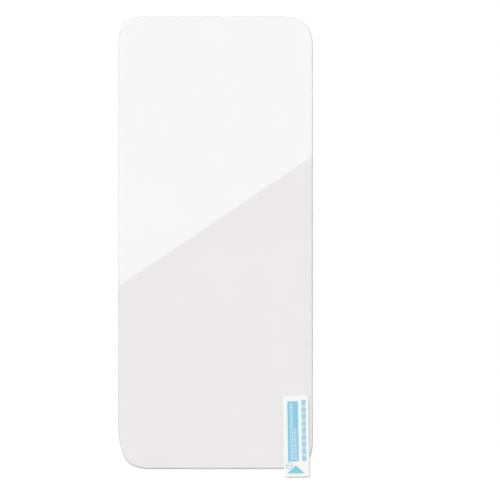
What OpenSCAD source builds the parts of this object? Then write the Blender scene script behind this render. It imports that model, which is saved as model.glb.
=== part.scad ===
// Tempered glass screen protector for a long car display, lying with its outer face down.
// The laminate is drawn in the order in which it is made: glass, adhesive, release liner,
// then the pull tab that peels the liner off. X is across the pane, Y along it, Z up.
// The origin is the centre of the pane's outer face.

/* [Pane] */
// Width of the glass, across the display
pane_w = 113.4; // [60:0.1:180]
// Length of the glass, along the display
pane_l = 264; // [120:0.5:400]
// Thickness of the glass
glass_t = 0.33; // [0.3:0.01:0.6]

/* [Corners] */
// Radius of the upper left corner
corner_upper_left = 13.2; // [4:0.1:28]
// Radius of the upper right corner
corner_upper_right = 15; // [4:0.1:28]
// Radius of the lower left corner
corner_lower_left = 15.6; // [4:0.1:28]
// Radius of the lower right corner
corner_lower_right = 13.6; // [4:0.1:28]

/* [Ground edge] */
// How far the polished arc reaches in from the rim of the outer face
arc_reach = 1.2; // [0.4:0.1:2.5]
// How far the arc lifts off the outer face at the rim
arc_lift = 0.2; // [0.05:0.01:0.24]
// Width of the small seam ground on the back edge
seam = 0.03; // [0.01:0.01:0.05]

/* [Adhesive and liner] */
// Thickness of the clear silicone adhesive
adhesive_t = 0.15; // [0.05:0.01:0.4]
// Thickness of the clear release liner
liner_t = 0.075; // [0.025:0.005:0.2]
// Bare margin of glass around the liner
liner_margin = 0.4; // [0.1:0.1:1.5]
// How far the liner runs out past the adhesive on every side
liner_lip = 0.3; // [0.1:0.1:1]

/* [Pull tab] */
// Width of the pull tab
tab_w = 14.9; // [14:0.1:30]
// Length of the pull tab
tab_l = 47.4; // [30:0.1:80]
// Thickness of the pull tab
tab_t = 0.1; // [0.05:0.01:0.3]
// Radius of the tab's corners
tab_corner = 1.2; // [0.5:0.1:3]
// Distance from the right rim of the glass to the tab, at the tab's middle
tab_side_gap = 2.1; // [0.5:0.05:10]
// How far the tab hangs out past the lower rim of the glass
tab_overhang = 4.7; // [2:0.1:15]
// Lean of the tab, in degrees, as it was stuck on by hand
tab_lean = 0.8; // [0:0.1:5]

/* [Tab print] */
// Thickness of the ink
ink_t = 0.02; // [0.01:0.01:0.05]
// White margin along the tab's left side
print_left = 2.5; // [1:0.1:4]
// White margin along the tab's right side
print_right = 1.6; // [1:0.1:3]
// White margin above the bar
print_top = 3.4; // [2:0.1:8]
// Height of the foot of the tab, which holds the ring and the arrow
print_foot = 8.9; // [8.9:0.1:14]
// Width of the column of marks
column_w = 2.6; // [2:0.1:4]
// White gap between the bar and the column
column_gap = 1.9; // [0.5:0.1:3]
// How far the column rises past the top of the bar
column_rise = 0.7; // [0:0.1:2]
// Number of marks in the column
mark_count = 9; // [4:1:12]
// White gap between two marks
mark_gap = 0.5; // [0.3:0.1:1]
// Share of its cell that each speck left white in a mark covers, along one side
mark_open = 0.62; // [0.3:0.01:0.8]
// Number of pairs of dashes, one long and one short, knocked out of the bar's first row
dash_count = 9; // [4:1:12]
// Number of pairs in the second row
second_count = 5; // [1:1:12]
// Share of a pair's length that its long dash takes
dash_share = 0.63; // [0.5:0.01:0.8]
// Gap between two dashes
dash_gap = 0.5; // [0.3:0.05:1]
// Width of a dash, which is a pair of thin lines
dash_w = 1.2; // [0.8:0.1:1.6]
// Width of each of its lines
dash_line = 0.35; // [0.2:0.05:0.5]
// Blue margin above and below the dashes
dash_margin = 1; // [0.6:0.1:2.5]
// How far both rows of dashes sit to the right of an even spacing
dash_shift = 0.2; // [-0.5:0.1:0.5]
// Outer radius of the ring
ring_r = 1.95; // [1.2:0.05:2.2]
// Line width of the ring and of the bar inside it
ring_line = 0.45; // [0.2:0.05:0.6]
// White margin between the tab's left side and the ring
ring_left = 1.4; // [1:0.1:2]
// White gap between the ring and the bar
ring_gap = 0.4; // [0.3:0.05:1.2]
// Least white gap between the ring and the arrow
arrow_clear = 0.3; // [0.1:0.05:0.6]
// White margin between the tab's left side and the arrow
arrow_left = 1.9; // [1:0.1:2.5]
// Width of the arrow's base
arrow_w = 10.2; // [6:0.1:11]
// Height of the arrow
arrow_h = 4.8; // [3:0.1:5]
// White margin below the arrow
arrow_foot = 1.9; // [1:0.1:2.4]

/* [Hidden] */
$fn = 96;
// Corner radii anticlockwise from the upper right, the order in which the sides are turned
pane_radii = [corner_upper_right, corner_upper_left, corner_lower_left, corner_lower_right];
// Radius of the polished arc, which meets the outer face without a step
arc_r = (arc_reach * arc_reach + arc_lift * arc_lift) / (2 * arc_lift);
// How far a cut runs out past the glass
cut_spare = 0.5;
// Heights of the layers' faces
adhesive_z = glass_t;
liner_z = adhesive_z + adhesive_t;
tab_z = liner_z + liner_t;
ink_z = tab_z + tab_t;
// Bare margin of glass around the adhesive
adhesive_margin = liner_margin + liner_lip;
// The tab's middle
tab_x = pane_w / 2 - tab_side_gap - tab_w / 2;
tab_y = -pane_l / 2 - tab_overhang + tab_l / 2;
// The print's fields, measured from the tab's lower left corner
bar_w = tab_w - print_left - column_gap - column_w - print_right;
bar_l = tab_l - print_top - print_foot;
column_x = tab_w - print_right - column_w;
mark_pitch = (bar_l + column_rise + mark_gap) / mark_count;
mark_h = mark_pitch - mark_gap;
// Cells of a mark, across and up, of which every other one holds a speck
mark_cells = [3, 4];
dash_pitch = (bar_l - 2 * dash_margin + dash_gap) / dash_count;
dash_long = (dash_pitch - 2 * dash_gap) * dash_share;
dash_short = dash_pitch - 2 * dash_gap - dash_long;
ring_x = ring_left + ring_r;
ring_y = print_foot - ring_gap - ring_r;
numeral_l = ring_r * 1.1;

// Half the sheet's size across side k, and half its size along that side
function half_out(w, l, k) = (k % 2 == 0 ? w : l) / 2;
function half_along(w, l, k) = (k % 2 == 0 ? l : w) / 2;
function turned(p, k) = [p.x * cos(90 * k) - p.y * sin(90 * k), p.x * sin(90 * k) + p.y * cos(90 * k)];
// Centre of the round at corner k
function corner_centre(w, l, radii, k) =
    turned([half_out(w, l, k) - radii[k], half_along(w, l, k) - radii[k]], k);
// Where that round runs into the sides before and after it
function corner_ends(w, l, radii, k) = [
    turned([half_out(w, l, k), half_along(w, l, k) - radii[k]], k),
    turned([half_out(w, l, k) - radii[k], half_along(w, l, k)], k)
];
function shrunk(radii, margin) = [for (r = radii) r - margin];

// Outline of a sheet with a round of its own radius at each corner
module sheet_outline(w, l, radii) {
    polygon([for (k = [0:3]) each corner_ends(w, l, radii, k)]);
    for (k = [0:3])
        translate(corner_centre(w, l, radii, k))
            circle(radii[k]);
}

// A flat sheet with square-cut edges and round corners
module flat_sheet(w, l, radii, t) {
    linear_extrude(t)
        sheet_outline(w, l, radii);
}

// Section of what is ground off, out from the axis of a round whose rim is at reach:
// below the arc on the outer face, and above the seam on the back
module ground_section(reach) {
    difference() {
        translate([reach - arc_reach, -cut_spare])
            square([arc_reach + cut_spare, arc_lift + cut_spare]);
        translate([reach - arc_reach, arc_r])
            circle(arc_r, $fn = 240);
    }
    polygon([
        [reach - seam - cut_spare, glass_t + cut_spare],
        [reach + cut_spare, glass_t - seam - cut_spare],
        [reach + cut_spare, glass_t + cut_spare]
    ]);
}

// What is ground off at corner k and along the side that ends there
module ground_off(k) {
    along = half_along(pane_w, pane_l, k);
    upper = along - pane_radii[k];
    lower = along - pane_radii[(k + 3) % 4];
    rotate([0, 0, 90 * k])
        translate([half_out(pane_w, pane_l, k) - pane_radii[k], upper, 0]) {
            rotate_extrude(angle = 90)
                ground_section(pane_radii[k]);
            translate([0, cut_spare, 0])
                rotate([90, 0, 0])
                    linear_extrude(upper + lower + 2 * cut_spare)
                        ground_section(pane_radii[k]);
        }
}

module glass_pane() {
    color([0.92, 0.92, 0.93, 0.45])
        difference() {
            flat_sheet(pane_w, pane_l, pane_radii, glass_t);
            for (k = [0:3])
                ground_off(k);
        }
}

// A layer that follows the pane's outline at a margin inside it
module layer(margin, t) {
    flat_sheet(pane_w - 2 * margin, pane_l - 2 * margin, shrunk(pane_radii, margin), t);
}

module adhesive_layer() {
    color([0.93, 0.92, 0.93, 0.4])
        translate([0, 0, adhesive_z])
            layer(adhesive_margin, adhesive_t);
}

module release_liner() {
    color([0.94, 0.94, 0.95, 0.4])
        translate([0, 0, liner_z])
            layer(liner_margin, liner_t);
}

module at_tab(z) {
    translate([tab_x, tab_y, z])
        rotate([0, 0, tab_lean])
            children();
}

module pull_tab() {
    color([0.98, 0.97, 0.95])
        at_tab(tab_z)
            flat_sheet(tab_w, tab_l, [tab_corner, tab_corner, tab_corner, tab_corner], tab_t);
}

// One row of long and short dashes, from the foot of the bar upwards
module dash_row(pairs) {
    for (i = [0:pairs - 1], x = [-dash_w / 2, dash_w / 2 - dash_line])
        translate([x, i * dash_pitch]) {
            square([dash_line, dash_long]);
            translate([0, dash_long + dash_gap])
                square([dash_line, dash_short]);
        }
}

module print_bar() {
    difference() {
        square([bar_w, bar_l]);
        translate([bar_w / 3 + dash_shift, dash_margin])
            dash_row(dash_count);
        translate([bar_w * 2 / 3 + dash_shift, dash_margin])
            dash_row(min(second_count, dash_count));
    }
}

// A plain block with specks left white in every other cell, starting with the first or the second
module print_mark(first) {
    cell = [column_w / mark_cells.x, mark_h / mark_cells.y];
    difference() {
        square([column_w, mark_h]);
        for (i = [0:mark_cells.x - 1], j = [0:mark_cells.y - 1])
            if ((i + j + first) % 2 == 0)
                translate([(i + 0.5) * cell.x, (j + 0.5) * cell.y])
                    square(cell * mark_open, center = true);
    }
}

// A ring round a lying numeral one, which reads with the tab's long side as its foot
module print_ring() {
    difference() {
        circle(ring_r);
        circle(ring_r - ring_line);
    }
    translate([-numeral_l / 2, -ring_line / 2])
        square([numeral_l, ring_line]);
}

// The arrow stays clear of the ring
module print_arrow() {
    difference() {
        translate([arrow_left, arrow_foot])
            polygon([[0, 0], [arrow_w, 0], [arrow_w / 2, arrow_h]]);
        translate([ring_x, ring_y])
            circle(ring_r + arrow_clear);
    }
}

module tab_print() {
    color([0.25, 0.62, 0.81])
        at_tab(ink_z)
            translate([-tab_w / 2, -tab_l / 2, 0])
                linear_extrude(ink_t) {
                    translate([print_left, print_foot])
                        print_bar();
                    for (i = [0:mark_count - 1])
                        translate([column_x, print_foot + i * mark_pitch])
                            print_mark(i % 2);
                    translate([ring_x, ring_y])
                        print_ring();
                    print_arrow();
                }
}

glass_pane();
adhesive_layer();
release_liner();
pull_tab();
tab_print();
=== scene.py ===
"""Looks of the glass screen protector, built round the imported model. Metres throughout."""

import math

import bmesh
import bpy
from mathutils import Matrix, Vector


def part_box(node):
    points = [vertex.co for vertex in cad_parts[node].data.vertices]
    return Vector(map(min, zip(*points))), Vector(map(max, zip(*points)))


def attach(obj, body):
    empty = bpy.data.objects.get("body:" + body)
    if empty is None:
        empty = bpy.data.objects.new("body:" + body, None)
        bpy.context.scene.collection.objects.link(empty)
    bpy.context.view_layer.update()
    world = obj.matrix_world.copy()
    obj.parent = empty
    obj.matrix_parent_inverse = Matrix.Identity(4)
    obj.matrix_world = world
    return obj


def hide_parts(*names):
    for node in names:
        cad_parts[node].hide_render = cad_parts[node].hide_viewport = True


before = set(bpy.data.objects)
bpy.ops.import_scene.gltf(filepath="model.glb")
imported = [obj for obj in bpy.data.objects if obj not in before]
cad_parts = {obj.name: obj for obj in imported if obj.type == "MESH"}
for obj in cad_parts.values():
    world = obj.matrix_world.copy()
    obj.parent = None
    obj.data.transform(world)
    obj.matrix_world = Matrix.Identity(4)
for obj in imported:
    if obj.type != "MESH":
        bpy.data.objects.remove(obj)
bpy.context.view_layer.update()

# The photograph's frame, and where the pane's middle lies in it
PHOTO_SIDE_PX = 500
PANE_CENTRE_PX = (215.4, 242.5)
METRES_PER_PX = 0.000584
CAMERA_HEIGHT = 1.2
SENSOR_MM = 36.0

# The pane's corners, anticlockwise from the upper right. Each is drawn out into the sides by a wider
# arc at either end: the radii of its three arcs
CORNER_RADII = (
    (0.0209, 0.0122, 0.0222),
    (0.0222, 0.0092, 0.0209),
    (0.0416, 0.0108, 0.0222),
    (0.0222, 0.0096, 0.0209),
)
# The share of the quarter turn that each of the three arcs takes, and the steps it is drawn in
CORNER_SHARES = (0.25, 0.5, 0.25)
CORNER_STEPS = (14, 28, 14)
QUARTER_TURN = math.pi / 2

# The glass's edge: a polished arc on the outer face, and a small seam on the back
ARC_REACH = 0.0012
ARC_LIFT = 0.0002
ARC_STEPS = 12
SEAM = 0.00003
# Band of glass that the liner leaves bare
BARE_MARGIN = 0.0004
# Air left between the clear layers, so that no two faces lie in one plane
LAYER_AIR = 0.000006
# Points of one sheet that are nearer than this are the same point
SAME_POINT = 1e-7

# Indices of refraction: bare glass, and the stack of film, adhesive and glass taken as one mirror
GLASS_IOR = 1.5
STACK_IOR = 1.8

# Colours. Each finish drifts between two near ones: the darker, the lighter, and how fine its patches are
GLASS_TINT = (0.995, 0.9955, 0.995), (0.997, 0.9975, 0.997), 18.0
SILICONE_TINT = (0.9805, 0.978, 0.9795), (0.9825, 0.98, 0.9815), 30.0
FILM_TINT = (0.987, 0.984, 0.9855), (0.989, 0.986, 0.9875), 40.0
STICKER_WHITE = (0.912, 0.91, 0.886), (0.933, 0.931, 0.909), 900.0
LIGHT_BLUE = (0.236, 0.574, 0.766), (0.261, 0.609, 0.796), 1400.0
# Layers of detail in each pattern, and the part of the pattern over which one colour turns into the other
CLEAR_DETAIL = 3.0
STICKER_DETAIL = 4.0
INK_DETAIL = 5.0
DRIFT = (0.3, 0.7)

# The sticker's satin surface and its faint tooth, and the gloss of the ink
STICKER_ROUGHNESS = 0.5
TOOTH_FINENESS = 4000.0
TOOTH_STRENGTH = 0.08
TOOTH_DEPTH = 0.00002
INK_ROUGHNESS = 0.38

# The ground rim: its colours, and the lean of its scattering, up from the way out of the pane
RIM_FROST = (0.985, 0.985, 0.985, 1)
RIM_TINT = (0.985, 0.987, 0.986, 1)
RIM_SHADOW = (0.02, 0.02, 0.02, 1)
RIM_LEAN = math.radians(40)
# Share of the light from outside that the rim stops where it is steepest
RIM_SHADE = 0.95
# How fast the scattering and the shade fade in from the rim
SCATTER_FADE = 4.2
SHADE_FADE = 4.0

# Floor: its colour, and the light of its own that keeps it white for the eye
FLOOR_HALF_SIDE = 6.0
FLOOR_DROP = 0.00005
FLOOR_WHITE = (0.97, 0.97, 0.97, 1)
FLOOR_GLOW = 0.05

# Light: the sky dome, a lamp from the upper left, and the softbox that the film mirrors
WHITE = (1, 1, 1, 1)
DOME = 0.3
LAMP_LEVEL = 0.698
LAMP_SOFTNESS = math.radians(50)
LAMP_FROM = Vector((-0.32, 0.59, 0.74))
SOFTBOX_HEIGHT = 1.2
SOFTBOX_SIZE = (1.1, 0.6)
# What the softbox adds to the white of the room
SOFTBOX_RADIANCE = (1.115, 1.311, 1.213)
# An area lamp of this power to each square metre has a radiance of 1
UNIT_RADIANCE_POWER = 4
# Two points of the photograph on the straight edge of the softbox's reflection
GLARE_EDGE_PX = ((118.0, 286.5), (312.0, 156.6))
# Light crosses six clear faces on its way down and six on its way back
CLEAR_CROSSINGS = 32


def on_pane(px):
    """Place on the pane, in metres, of a point given in the photograph's pixels."""
    return Vector((
        (px[0] - PANE_CENTRE_PX[0]) * METRES_PER_PX,
        (PANE_CENTRE_PX[1] - px[1]) * METRES_PER_PX,
    ))


VIEW_POINT = on_pane((PHOTO_SIDE_PX / 2, PHOTO_SIDE_PX / 2))


def node_size(node):
    low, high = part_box(node)
    return high - low


def node_heights(node):
    low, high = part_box(node)
    return low.z, high.z


# Shader building

def new_material(name):
    material = bpy.data.materials.new(name)
    material.use_nodes = True
    material.node_tree.nodes.clear()
    return material, material.node_tree.nodes, material.node_tree.links


def show_surface(nodes, links, surface):
    """Ends a material's nodes in what its surface shows."""
    output = add(nodes, "ShaderNodeOutputMaterial")
    links.new(surface, output.inputs["Surface"])


def add(nodes, kind, **values):
    node = nodes.new(kind)
    for key, value in values.items():
        setattr(node, key, value)
    return node


def feed(links, value, socket):
    """Gives a socket a number, or the output of another node."""
    if isinstance(value, (int, float)):
        socket.default_value = value
    else:
        links.new(value, socket)


def math_node(nodes, links, operation, first, second):
    node = add(nodes, "ShaderNodeMath", operation=operation)
    feed(links, first, node.inputs[0])
    feed(links, second, node.inputs[1])
    return node.outputs[0]


def mix_shaders(nodes, links, factor, first, second):
    node = add(nodes, "ShaderNodeMixShader")
    links.new(factor, node.inputs["Fac"])
    links.new(first, node.inputs[1])
    links.new(second, node.inputs[2])
    return node.outputs[0]


def on_front(nodes, links):
    """One on a face's outer side, and nought on its inner side."""
    side = add(nodes, "ShaderNodeNewGeometry")
    return math_node(nodes, links, "SUBTRACT", 1.0, side.outputs["Backfacing"])


def for_the_eye(nodes, links):
    """One for what the camera sees, straight, in a mirror or through glass, and nought for other light."""
    path = add(nodes, "ShaderNodeLightPath")
    eye = math_node(nodes, links, "MAXIMUM", path.outputs["Is Camera Ray"], path.outputs["Is Glossy Ray"])
    return math_node(nodes, links, "MAXIMUM", eye, path.outputs["Is Transmission Ray"])


def mottled_colour(nodes, links, finish, detail):
    """A colour that drifts between two near ones, fixed to the piece."""
    low, high, fineness = finish
    place = add(nodes, "ShaderNodeTexCoord")
    noise = add(nodes, "ShaderNodeTexNoise")
    noise.inputs["Scale"].default_value = fineness
    noise.inputs["Detail"].default_value = detail
    ramp = add(nodes, "ShaderNodeValToRGB")
    for element, position, colour in zip(ramp.color_ramp.elements, DRIFT, (low, high)):
        element.position = position
        element.color = (*colour, 1)
    links.new(place.outputs["Object"], noise.inputs["Vector"])
    links.new(noise.outputs["Fac"], ramp.inputs["Fac"])
    return ramp.outputs["Color"]


def with_mirror(nodes, links, surface, ior):
    """Adds the mirror that a polished face is to what stands before it."""
    fresnel = add(nodes, "ShaderNodeFresnel")
    fresnel.inputs["IOR"].default_value = ior
    share = math_node(nodes, links, "MULTIPLY", fresnel.outputs[0], on_front(nodes, links))
    gloss = add(nodes, "ShaderNodeBsdfGlossy")
    gloss.inputs["Roughness"].default_value = 0.0
    return mix_shaders(nodes, links, share, surface, gloss.outputs[0])


def clear_material(name, finish, mirror_ior=None):
    """Clear sheet: tinted light passes, and the side that faces out mirrors the room."""
    material, nodes, links = new_material(name)
    through = add(nodes, "ShaderNodeBsdfTransparent")
    links.new(mottled_colour(nodes, links, finish, CLEAR_DETAIL), through.inputs["Color"])
    surface = through.outputs[0]
    if mirror_ior:
        surface = with_mirror(nodes, links, surface, mirror_ior)
    show_surface(nodes, links, surface)
    return material


def rim_material():
    """The ground rim: the steeper it is, the more it scatters, and the less light passes it."""
    material, nodes, links = new_material("ground_rim")
    steep = add(nodes, "ShaderNodeAttribute", attribute_name="steep").outputs["Fac"]
    outward = add(nodes, "ShaderNodeAttribute", attribute_name="outward")
    scatter = add(nodes, "ShaderNodeBsdfDiffuse")
    scatter.inputs["Color"].default_value = RIM_FROST
    links.new(outward.outputs["Vector"], scatter.inputs["Normal"])
    through = add(nodes, "ShaderNodeBsdfTransparent")
    through.inputs["Color"].default_value = RIM_TINT
    share = math_node(nodes, links, "POWER", steep, SCATTER_FADE)
    seen = mix_shaders(nodes, links, share, through.outputs[0], scatter.outputs[0])
    seen = with_mirror(nodes, links, seen, GLASS_IOR)
    # Light that comes in through the top face leaves the rim bent, so the rim throws a shadow
    stopped = math_node(nodes, links, "POWER", steep, SHADE_FADE)
    stopped = math_node(nodes, links, "MULTIPLY", stopped, on_front(nodes, links))
    stopped = math_node(nodes, links, "MULTIPLY", stopped, RIM_SHADE)
    dark = add(nodes, "ShaderNodeBsdfDiffuse")
    dark.inputs["Color"].default_value = RIM_SHADOW
    clear = add(nodes, "ShaderNodeBsdfTransparent")
    shadow = mix_shaders(nodes, links, stopped, clear.outputs[0], dark.outputs[0])
    path = add(nodes, "ShaderNodeLightPath")
    show_surface(nodes, links, mix_shaders(nodes, links, path.outputs["Is Shadow Ray"], seen, shadow))
    return material


def matt_shader(nodes, links, finish, detail, roughness):
    """A solid surface of a drifting colour."""
    shader = add(nodes, "ShaderNodeBsdfPrincipled")
    shader.inputs["Roughness"].default_value = roughness
    links.new(mottled_colour(nodes, links, finish, detail), shader.inputs["Base Color"])
    return shader


def sticker_material():
    """Satin white sticker stock with a faint tooth."""
    material, nodes, links = new_material("sticker_white")
    shader = matt_shader(nodes, links, STICKER_WHITE, STICKER_DETAIL, STICKER_ROUGHNESS)
    place = add(nodes, "ShaderNodeTexCoord")
    tooth = add(nodes, "ShaderNodeTexNoise")
    tooth.inputs["Scale"].default_value = TOOTH_FINENESS
    bump = add(nodes, "ShaderNodeBump")
    bump.inputs["Strength"].default_value = TOOTH_STRENGTH
    bump.inputs["Distance"].default_value = TOOTH_DEPTH
    links.new(place.outputs["Object"], tooth.inputs["Vector"])
    links.new(tooth.outputs["Fac"], bump.inputs["Height"])
    links.new(bump.outputs["Normal"], shader.inputs["Normal"])
    show_surface(nodes, links, shader.outputs[0])
    return material


def ink_material():
    """Light blue print, laid a little unevenly."""
    material, nodes, links = new_material("light_blue_ink")
    shader = matt_shader(nodes, links, LIGHT_BLUE, INK_DETAIL, INK_ROUGHNESS)
    show_surface(nodes, links, shader.outputs[0])
    return material


# Clear layers

OUTER_FACE, RIM, BONDED_FACE, BARE_BAND = range(4)


def direction(angle):
    return Vector((math.cos(angle), math.sin(angle)))


def pane_outline(size):
    """Points round the pane's rim, anticlockwise from the right side, and the way out at each."""
    points, ways = [], []
    ends = [QUARTER_TURN * sum(CORNER_SHARES[:i]) for i in range(4)]
    rises = [math.sin(end) - math.sin(start) for start, end in zip(ends, ends[1:])]
    for k, radii in enumerate(CORNER_RADII):
        across, along = (size.x, size.y) if k % 2 == 0 else (size.y, size.x)
        reach = sum(radius * rise for radius, rise in zip(radii, rises))
        middle = Vector((across / 2 - radii[0], along / 2 - reach))
        to_corner = Matrix.Rotation(-QUARTER_TURN * k, 2)
        for i, radius in enumerate(radii):
            if i:
                middle += (radii[i - 1] - radius) * direction(ends[i])
            # The last arc's end is drawn too, because the straight side starts there
            last_arc = i == 2
            for j in range(CORNER_STEPS[i] + last_arc):
                way = direction(ends[i] + (ends[i + 1] - ends[i]) * j / CORNER_STEPS[i])
                points.append((middle + radius * way) @ to_corner)
                ways.append(way @ to_corner)
    return points, ways


def ground_sheet(name, size, low, high):
    """The glass: rings of its edge section, from the seam down round the arc, and two flat faces."""
    arc_radius = (ARC_REACH ** 2 + ARC_LIFT ** 2) / (2 * ARC_LIFT)
    section = [(BARE_MARGIN, high), (SEAM, high), (0.0, high - SEAM)]
    bands = [BARE_BAND, RIM, RIM] + [RIM] * ARC_STEPS
    for i in range(ARC_STEPS + 1):
        inset = ARC_REACH * i / ARC_STEPS
        run = ARC_REACH - inset
        section.append((inset, low + arc_radius - math.sqrt(arc_radius ** 2 - run ** 2)))
    points, ways = pane_outline(size)
    mesh = bmesh.new()
    outward = mesh.verts.layers.float_vector.new("outward")
    steep = mesh.verts.layers.float.new("steep")
    rings = []
    for inset, height in section:
        ring = []
        for point, way in zip(points, ways):
            place = point - way * inset
            vert = mesh.verts.new((place.x, place.y, height))
            lean = way * math.cos(RIM_LEAN)
            vert[outward] = Vector((lean.x, lean.y, math.sin(RIM_LEAN)))
            vert[steep] = 1 - inset / ARC_REACH
            ring.append(vert)
        rings.append(ring)
    count = len(points)
    for upper, lower, band in zip(rings, rings[1:], bands):
        for i in range(count):
            ahead = (i + 1) % count
            face = mesh.faces.new((upper[i], lower[i], lower[ahead], upper[ahead]))
            face.material_index = band
            face.smooth = band == RIM
    mesh.faces.new(rings[0]).material_index = BONDED_FACE
    mesh.faces.new(list(reversed(rings[-1]))).material_index = OUTER_FACE
    # The seam's two edges and the top of the arc stay crisp
    crisp = [set(ring) for ring in rings[1:4]]
    for edge in mesh.edges:
        if any(edge.verts[0] in ring and edge.verts[1] in ring for ring in crisp):
            edge.smooth = False
    return finish_mesh(mesh, name)


def finish_mesh(mesh, name):
    bmesh.ops.recalc_face_normals(mesh, faces=mesh.faces)
    data = bpy.data.meshes.new(name)
    mesh.to_mesh(data)
    mesh.free()
    piece = bpy.data.objects.new(name, data)
    bpy.context.collection.objects.link(piece)
    return piece


# Geometry Nodes

def new_tree(name, inputs):
    """An empty tree, and its named inputs."""
    tree = bpy.data.node_groups.new(name, "GeometryNodeTree")
    sockets = {}
    for label, kind in inputs:
        sockets[label] = tree.interface.new_socket(label, in_out="INPUT", socket_type=kind)
    tree.interface.new_socket("Geometry", in_out="OUTPUT", socket_type="NodeSocketGeometry")
    return tree, sockets


def end_tree(tree, geometry, material):
    nodes, links = tree.nodes, tree.links
    real = nodes.new("GeometryNodeRealizeInstances")
    finish = nodes.new("GeometryNodeSetMaterial")
    output = nodes.new("NodeGroupOutput")
    links.new(geometry, real.inputs[0])
    links.new(real.outputs[0], finish.inputs["Geometry"])
    links.new(material, finish.inputs["Material"])
    links.new(finish.outputs[0], output.inputs[0])


def flat_sheet_tree():
    """A flat sheet that follows the pane's rim at a margin inside it, cut square at the edge."""
    tree, sockets = new_tree("flat_sheet", (
        ("Rim", "NodeSocketGeometry"),
        ("Margin", "NodeSocketFloat"),
        ("Thickness", "NodeSocketFloat"),
        ("Height", "NodeSocketFloat"),
        ("Material", "NodeSocketMaterial"),
    ))
    nodes, links = tree.nodes, tree.links
    given = nodes.new("NodeGroupInput").outputs
    # The rim moves in by the margin
    way = add(nodes, "GeometryNodeInputNamedAttribute", data_type="FLOAT_VECTOR")
    way.inputs["Name"].default_value = "way_out"
    inwards = add(nodes, "ShaderNodeVectorMath", operation="SCALE")
    links.new(way.outputs["Attribute"], inwards.inputs[0])
    links.new(math_node(nodes, links, "MULTIPLY", given["Margin"], -1.0), inwards.inputs["Scale"])
    inset = nodes.new("GeometryNodeSetPosition")
    links.new(given["Rim"], inset.inputs["Geometry"])
    links.new(inwards.outputs["Vector"], inset.inputs["Offset"])
    # It is filled, and drawn up to the sheet's thickness over a face turned downwards
    outline = nodes.new("GeometryNodeMeshToCurve")
    links.new(inset.outputs[0], outline.inputs["Mesh"])
    face = add(nodes, "GeometryNodeFillCurve", mode="NGONS")
    links.new(outline.outputs[0], face.inputs["Curve"])
    wall = nodes.new("GeometryNodeExtrudeMesh")
    wall.inputs["Individual"].default_value = False
    links.new(face.outputs[0], wall.inputs["Mesh"])
    links.new(given["Thickness"], wall.inputs["Offset Scale"])
    under = nodes.new("GeometryNodeFlipFaces")
    links.new(face.outputs[0], under.inputs["Mesh"])
    joined = nodes.new("GeometryNodeJoinGeometry")
    links.new(under.outputs[0], joined.inputs[0])
    links.new(wall.outputs["Mesh"], joined.inputs[0])
    closed = nodes.new("GeometryNodeMergeByDistance")
    closed.inputs["Distance"].default_value = SAME_POINT
    links.new(joined.outputs[0], closed.inputs["Geometry"])
    lift = nodes.new("ShaderNodeCombineXYZ")
    links.new(given["Height"], lift.inputs["Z"])
    placed = nodes.new("GeometryNodeTransform")
    links.new(closed.outputs[0], placed.inputs["Geometry"])
    links.new(lift.outputs[0], placed.inputs["Translation"])
    end_tree(tree, placed.outputs[0], given["Material"])
    return tree, sockets


def rim_mesh(name, size):
    """The pane's rim as one closed line of points, each with its way out."""
    points, ways = pane_outline(size)
    count = len(points)
    mesh = bpy.data.meshes.new(name)
    mesh.from_pydata([(p.x, p.y, 0) for p in points], [(i, (i + 1) % count) for i in range(count)], [])
    outward = mesh.attributes.new("way_out", "FLOAT_VECTOR", "POINT")
    for i, way in enumerate(ways):
        outward.data[i].vector = (way.x, way.y, 0)
    return mesh


def grow(name, seed_mesh, tree, sockets, values):
    """Runs a tree on a mesh with the given inputs and keeps its result as a plain mesh."""
    seed = bpy.data.objects.new(name, seed_mesh)
    bpy.context.collection.objects.link(seed)
    modifier = seed.modifiers.new("shape", "NODES")
    modifier.node_group = tree
    for label, value in values.items():
        modifier[sockets[label].identifier] = value
    seen = seed.evaluated_get(bpy.context.evaluated_depsgraph_get())
    plain = bpy.data.meshes.new_from_object(seen)
    seed.modifiers.remove(modifier)
    seed.data = plain
    plain.name = name
    return seed


def clear_layer(name, node, tree, sockets, material):
    """One of the flat clear layers, in the place of its solid."""
    pane = node_size("glass_pane")
    low, high = node_heights(node)
    values = {
        "Margin": (pane.x - node_size(node).x) / 2,
        "Height": low + LAYER_AIR,
        "Thickness": high - low - 2 * LAYER_AIR,
        "Material": material,
    }
    return grow(name, rim_mesh(name + "_rim", pane), tree, sockets, values)


def build_glass():
    low, high = node_heights("glass_pane")
    glass = ground_sheet("ground_glass", node_size("glass_pane"), low, high - LAYER_AIR)
    finishes = {
        OUTER_FACE: clear_material("glass_outer_face", GLASS_TINT, GLASS_IOR),
        RIM: rim_material(),
        BONDED_FACE: clear_material("glass_under_adhesive", GLASS_TINT),
        BARE_BAND: clear_material("glass_bare_band", GLASS_TINT, STACK_IOR),
    }
    for k in sorted(finishes):
        glass.data.materials.append(finishes[k])
    return glass


def build_clear_layers():
    tree, sockets = flat_sheet_tree()
    glass = build_glass()
    silicone = clear_material("clear_silicone", SILICONE_TINT)
    adhesive = clear_layer("silicone_adhesive", "adhesive_layer", tree, sockets, silicone)
    release = clear_material("release_film", FILM_TINT, STACK_IOR)
    film = clear_layer("release_film", "release_liner", tree, sockets, release)
    for piece, node, slot in (
        (glass, "glass_pane", "glass"),
        (adhesive, "adhesive_layer", "clear_adhesive"),
        (film, "release_liner", "clear_film"),
    ):
        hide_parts(node)
        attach(piece, "root")


def dress_tab():
    """The tab and its print keep their solids' shapes and get their finish."""
    for node, material in (("pull_tab", sticker_material()), ("tab_print", ink_material())):
        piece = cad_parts[node]
        piece.data.materials.clear()
        piece.data.materials.append(material)


# Stage

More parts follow.
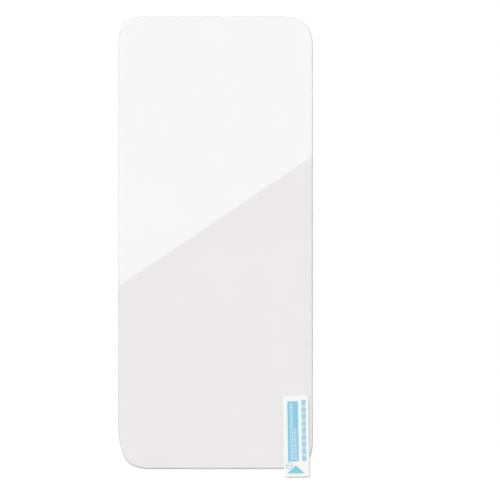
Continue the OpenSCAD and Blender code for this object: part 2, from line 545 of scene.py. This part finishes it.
def build_floor():
    mesh = bmesh.new()
    bmesh.ops.create_grid(mesh, x_segments=1, y_segments=1, size=FLOOR_HALF_SIDE)
    floor = finish_mesh(mesh, "floor")
    for vert in floor.data.vertices:
        vert.co.z = -FLOOR_DROP
    material, nodes, links = new_material("pale_floor")
    matt = add(nodes, "ShaderNodeBsdfDiffuse")
    matt.inputs["Color"].default_value = FLOOR_WHITE
    # A little light of its own, for the eye alone, keeps the floor white and its shadows grey
    glow = add(nodes, "ShaderNodeEmission")
    shown = math_node(nodes, links, "MULTIPLY", for_the_eye(nodes, links), FLOOR_GLOW)
    links.new(shown, glow.inputs["Strength"])
    total = add(nodes, "ShaderNodeAddShader")
    links.new(matt.outputs[0], total.inputs[0])
    links.new(glow.outputs[0], total.inputs[1])
    show_surface(nodes, links, total.outputs[0])
    floor.data.materials.append(material)


def sky(nodes, strength):
    background = add(nodes, "ShaderNodeBackground")
    background.inputs["Color"].default_value = WHITE
    background.inputs["Strength"].default_value = strength
    return background.outputs[0]


def build_world():
    """A dome that lights the object softly, and that the eye sees as plain white."""
    world = bpy.data.worlds.new("studio")
    bpy.context.scene.world = world
    world.use_nodes = True
    nodes, links = world.node_tree.nodes, world.node_tree.links
    nodes.clear()
    both = mix_shaders(nodes, links, for_the_eye(nodes, links), sky(nodes, DOME), sky(nodes, 1.0))
    output = add(nodes, "ShaderNodeOutputWorld")
    links.new(both, output.inputs["Surface"])


def add_lamp(name, kind):
    lamp = bpy.data.objects.new(name, bpy.data.lights.new(name, kind))
    bpy.context.collection.objects.link(lamp)
    return lamp


def build_key_lamp():
    key = add_lamp("key_lamp", "SUN")
    # A sun of strength pi that stands overhead lights a white floor to 1
    key.data.energy = LAMP_LEVEL * math.pi / LAMP_FROM.normalized().z
    key.data.angle = LAMP_SOFTNESS
    key.rotation_mode = "QUATERNION"
    key.rotation_quaternion = LAMP_FROM.normalized().to_track_quat("Z", "Y")
    # The film mirrors the softbox and not the key lamp, which would wash it out from one side
    key.visible_glossy = False


def build_softbox():
    softbox = add_lamp("softbox", "AREA")
    softbox.data.shape = "RECTANGLE"
    softbox.data.size, softbox.data.size_y = SOFTBOX_SIZE
    brightest = max(SOFTBOX_RADIANCE)
    softbox.data.color = [value / brightest for value in SOFTBOX_RADIANCE]
    softbox.data.energy = UNIT_RADIANCE_POWER * brightest * SOFTBOX_SIZE[0] * SOFTBOX_SIZE[1]
    # It shows in mirrors alone, and the dome and the key lamp light the object
    softbox.visible_camera = False
    softbox.visible_diffuse = False
    softbox.visible_transmission = False
    # A point of the film mirrors the point of the softbox that lies as far past it as the eye is
    stretch = 1 + SOFTBOX_HEIGHT / CAMERA_HEIGHT
    first, last = [VIEW_POINT + (on_pane(px) - VIEW_POINT) * stretch for px in GLARE_EDGE_PX]
    along = (last - first).normalized()
    across = Vector((-along.y, along.x))
    middle = (first + last) / 2 + across * SOFTBOX_SIZE[1] / 2
    softbox.location = (middle.x, middle.y, SOFTBOX_HEIGHT)
    softbox.rotation_euler = (0, 0, math.atan2(along.y, along.x))


def build_camera():
    camera = bpy.data.objects.new("camera", bpy.data.cameras.new("camera"))
    bpy.context.collection.objects.link(camera)
    camera.data.sensor_width = SENSOR_MM
    camera.data.lens = SENSOR_MM * CAMERA_HEIGHT / (PHOTO_SIDE_PX * METRES_PER_PX)
    camera.location = (VIEW_POINT.x, VIEW_POINT.y, CAMERA_HEIGHT)
    bpy.context.scene.camera = camera


scene = bpy.context.scene
scene.view_settings.view_transform = "Standard"
scene.cycles.transparent_max_bounces = CLEAR_CROSSINGS

build_camera()
build_clear_layers()
dress_tab()
build_floor()
build_world()
build_key_lamp()
build_softbox()
